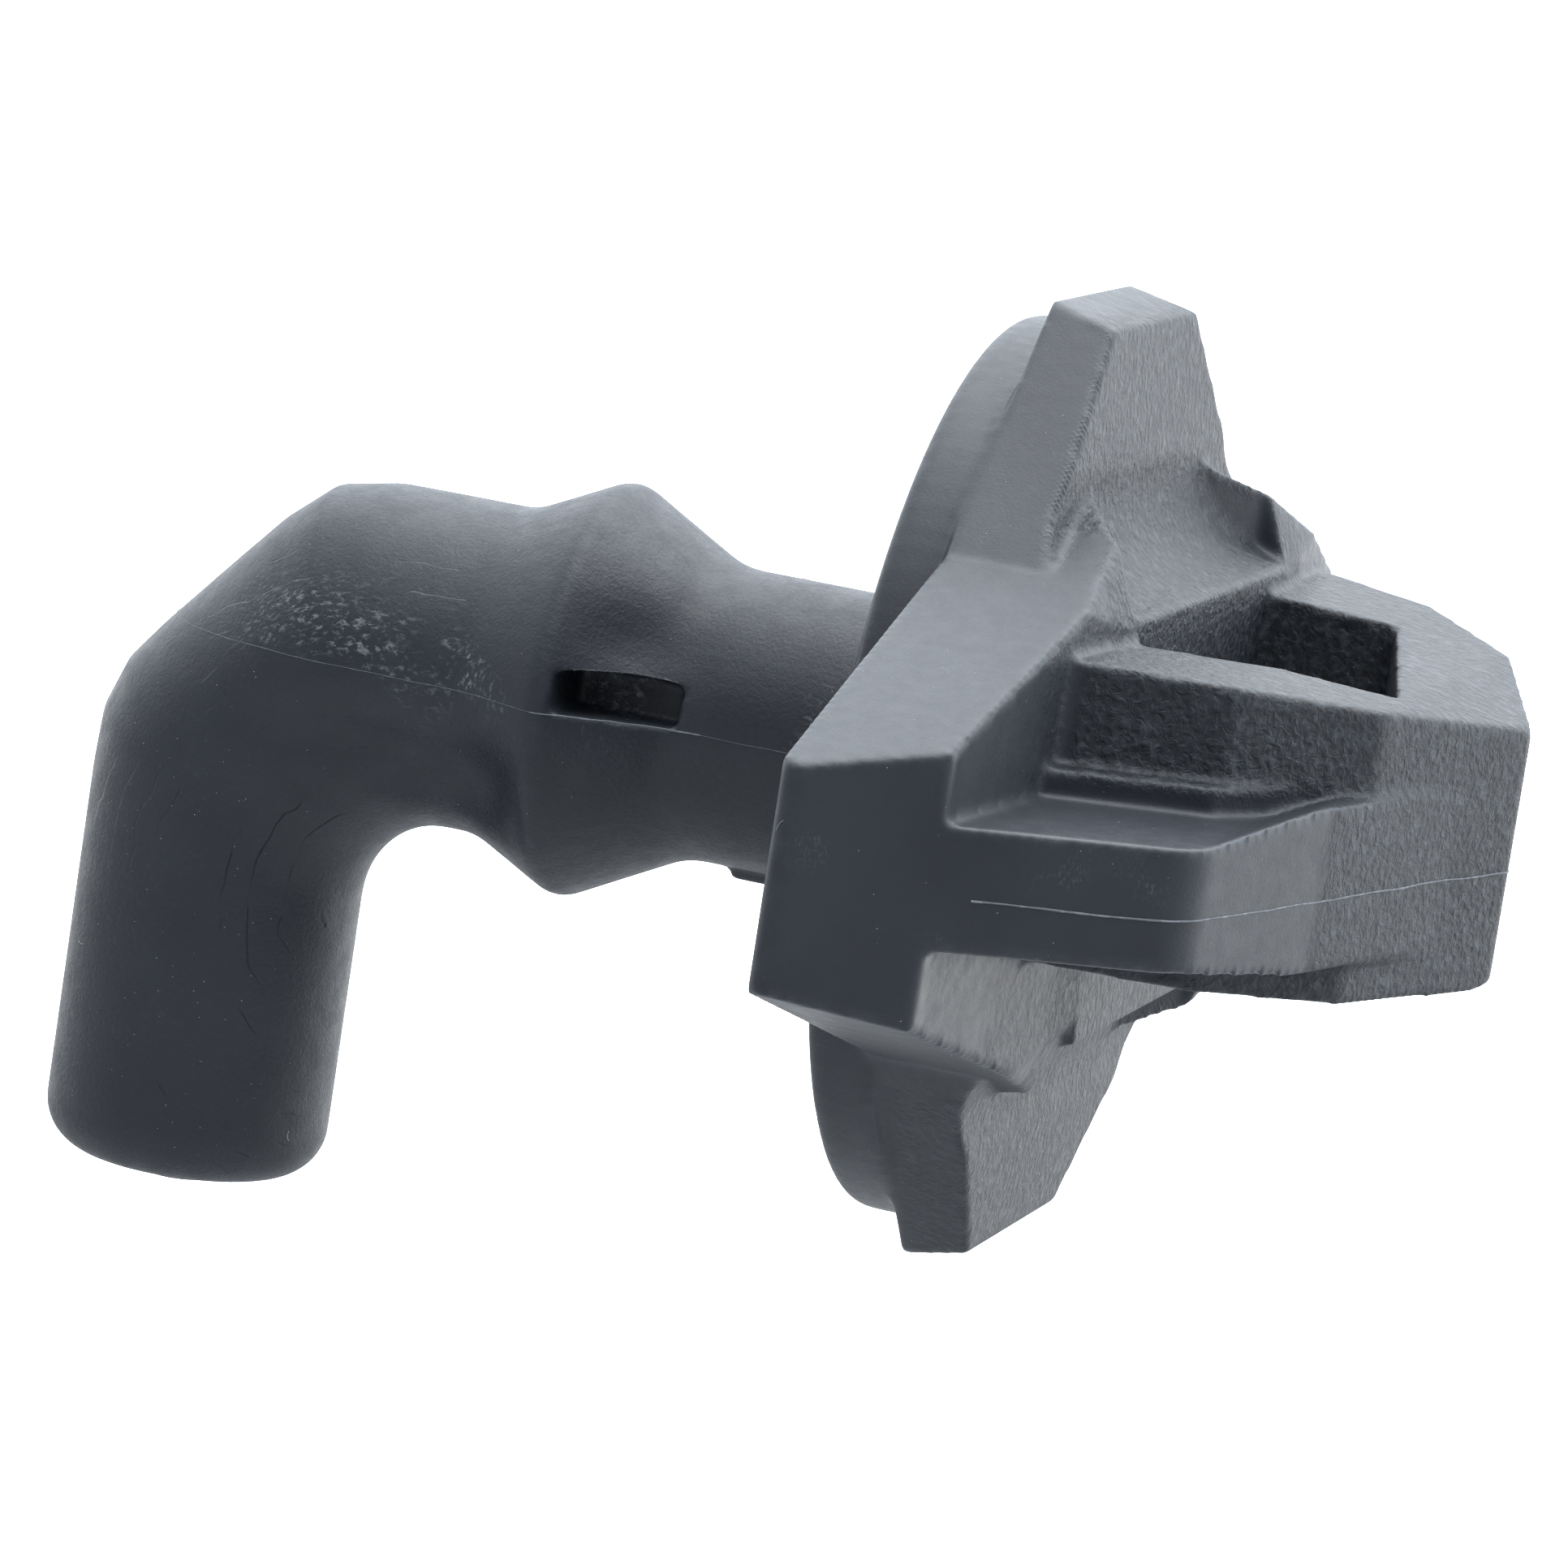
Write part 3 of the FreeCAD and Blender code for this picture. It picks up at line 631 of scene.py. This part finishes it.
def grow(name, tree, source, skinSlot, **values):
    item = bpy.data.objects.new(name, source)
    scene.collection.objects.link(item)
    modifier = item.modifiers.new(name, "NODES")
    modifier.node_group = tree
    for socket in tree.interface.items_tree:
        if socket.in_out == "INPUT" and socket.name in values:
            modifier[socket.identifier] = values[socket.name]
    frozen(item)
    keepInside(item)
    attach(item, "root")
    print(name + ":", len(item.data.polygons), "faces")


def longestLoop(edges):                      # the biggest of the loops that a cut leaves
    left, best = dict.fromkeys(edges), []    # a dict keeps its order, so each run gives the same line
    while left:
        front = [left.popitem()[0]]
        chain = []
        while front:
            edge = front.pop()
            chain.append(edge)
            for vertex in edge.verts:
                for other in vertex.link_edges:
                    if other in left:
                        del left[other]
                        front.append(other)
        best = max(best, chain, key=len)
    return best


def seamLine(skin, run):
    mesh = bmesh.new()
    mesh.from_mesh(skin.data)
    cut = bmesh.ops.bisect_plane(mesh, geom=mesh.verts[:] + mesh.edges[:] + mesh.faces[:],
                                 plane_co=(0, 0, seamForm["level"]), plane_no=(0, 0, 1))["geom_cut"]
    loop = longestLoop([part for part in cut if isinstance(part, bmesh.types.BMEdge)])
    low, high = (end * mm for end in run["span"])
    kept = [edge for edge in loop if all(low < vertex.co.x < high for vertex in edge.verts)]
    order = {}
    for edge in kept:
        for vertex in edge.verts:
            order.setdefault(vertex, len(order))
    data = bpy.data.meshes.new("seamLine")
    data.from_pydata([tuple(vertex.co) for vertex in order],
                     [tuple(order[vertex] for vertex in edge.verts) for edge in kept], [])
    x = np.array([vertex.co.x for vertex in order]) / mm
    proud = (x > run["proud"][0]) & (x < run["proud"][1])
    writeAttribute(data, "thick", run["thick"] * np.where(proud, 1.0, seamForm["faint"]))
    mesh.free()
    return data


def litterMaterial(name, pale, warm):
    material = bpy.data.materials.new(name)
    material.use_nodes = True
    tree = material.node_tree
    shader = tree.nodes["Principled BSDF"]
    place = tree.nodes.new("ShaderNodeTexCoord").outputs["Object"]
    mixed = rangeNode(tree, noiseNode(tree, place, 2300.0, 2.0, 0.6), 0.52, 0.62)
    tree.links.new(mixColour(tree, mixed, pale, warm), shader.inputs["Base Color"])
    tree.links.new(rangeNode(tree, noiseNode(tree, place, 30000.0, 2.0, 0.5), 0.3, 0.7, 0.5, 0.8),
                   shader.inputs["Roughness"])
    return material


# painted highlight: the flash is the body's own plastic, coloured pale grey to stand for the bright
# parting-line edge
flashHighlightMaterial = litterMaterial("flashHighlight", (0.16, 0.17, 0.19), (0.24, 0.25, 0.28))
dustMaterial = litterMaterial("dustMineral", (0.62, 0.63, 0.66), (0.55, 0.42, 0.28))
lintMaterial = litterMaterial("lintFibre", (0.70, 0.70, 0.70), (0.62, 0.60, 0.52))
seams, dusts, lints = seamTree(), dustTree(), lintTree()
for label, (skin, _, _, skinSlot) in skins.items():
    grow(label + "Seam", seams, seamLine(skin, seamRuns[label]), skinSlot, Step=seamForm["step"],
         Waver=seamForm["waver"], Wander=seamForm["wander"], Seed=seamForm["seed"], Finish=flashHighlightMaterial)
    grow(label + "Dust", dusts, skin.data, skinSlot, Size=dustForm["size"], Seed=dustForm["seed"],
         Finish=dustMaterial, **{"Per Square": dustForm["perSquare"]})
    grow(label + "Lint", lints, skin.data, skinSlot, Length=lintForm["length"], Thick=lintForm["thick"],
         Seed=lintForm["seed"], Finish=lintMaterial, **{"Per Square": lintForm["perSquare"]})


# ---- floor, light and camera

def paperMaterial():                         # white to the camera, lit only behind the object
    material = bpy.data.materials.new("floorPaper")
    material.use_nodes = True
    tree = material.node_tree
    shader = tree.nodes["Principled BSDF"]
    shader.inputs["Roughness"].default_value = 0.9
    seen = tree.nodes.new("ShaderNodeLightPath").outputs["Is Camera Ray"]
    place = tree.nodes.new("ShaderNodeTexCoord").outputs["Object"]
    split = tree.nodes.new("ShaderNodeSeparateXYZ")
    tree.links.new(place, split.inputs[0])
    behind = rangeNode(tree, split.outputs["Y"], *studio["glowReach"], 0.0, studio["backGlow"])
    glow = mathNode(tree, "MAXIMUM", behind, seen)
    tree.links.new(mixColour(tree, seen, studio["floorShade"], studio["floorTone"]),
                   shader.inputs["Base Color"])
    shader.inputs["Emission Color"].default_value = (*studio["floorTone"], 1.0)
    tree.links.new(glow, shader.inputs["Emission Strength"])
    return material


def makeFloor():
    half = studio["floorSpan"] / 2
    level = cadLow.z - studio["floorDrop"]
    data = bpy.data.meshes.new("floor")
    data.from_pydata([(-half, -half, level), (half, -half, level), (half, half, level), (-half, half, level)],
                     [], [(0, 1, 2, 3)])
    floor = bpy.data.objects.new("floor", data)
    scene.collection.objects.link(floor)
    data.materials.append(paperMaterial())


def makeSky():                               # white all round, dimmer on the side of the shot
    world = bpy.data.worlds.new("studioSky")
    scene.world = world
    world.use_nodes = True
    tree = world.node_tree
    back = tree.nodes["Background"]
    way = tree.nodes.new("ShaderNodeTexCoord").outputs["Generated"]
    split = tree.nodes.new("ShaderNodeSeparateXYZ")
    tree.links.new(way, split.inputs[0])
    front = rangeNode(tree, split.outputs["Y"], *studio["skyTurn"], studio["frontShade"], studio["backShade"])
    top = rangeNode(tree, split.outputs["Z"], *studio["skyRise"], 0.0, studio["topShade"])
    glow = mathNode(tree, "ADD", front, top)
    seen = tree.nodes.new("ShaderNodeLightPath").outputs["Is Camera Ray"]
    pick = tree.nodes.new("ShaderNodeMix")
    tree.links.new(seen, pick.inputs[0])
    tree.links.new(glow, pick.inputs[2])
    pick.inputs[3].default_value = studio["seenSky"]
    tree.links.new(pick.outputs[0], back.inputs["Strength"])
    back.inputs["Color"].default_value = (*studio["skyTone"], 1.0)


def softbox(name, place, width, height, power):   # always aimed at the origin
    light = bpy.data.lights.new(name, "AREA")
    light.shape = "RECTANGLE"
    light.size, light.size_y = width, height
    light.energy = power
    item = bpy.data.objects.new(name, light)
    scene.collection.objects.link(item)
    item.location = place
    item.rotation_euler = (-Vector(place)).to_track_quat("-Z", "Y").to_euler()


def makeCamera():
    turn, lift, roll = (math.radians(shot[key]) for key in ("azimuth", "elevation", "roll"))
    ahead = Vector((-math.sin(turn) * math.cos(lift), math.cos(turn) * math.cos(lift), -math.sin(lift)))
    level = Vector((math.cos(turn), math.sin(turn), 0.0))
    over = level.cross(ahead)
    right = level * math.cos(roll) + over * math.sin(roll)
    up = right.cross(ahead)
    lens = bpy.data.cameras.new("shot")
    lens.lens = shot["lens"]
    lens.sensor_width = 36.0
    lens.clip_start, lens.clip_end = 0.01, 20.0
    camera = bpy.data.objects.new("shot", lens)
    scene.collection.objects.link(camera)
    place = Vector(shot["aim"]) - ahead * shot["distance"]
    camera.matrix_world = Matrix.Translation(place) @ Matrix((right, up, -ahead)).transposed().to_4x4()
    scene.camera = camera


makeFloor()
makeSky()
for name, values in softboxes.items():
    softbox(name, *values)
makeCamera()
print("studio and camera set")
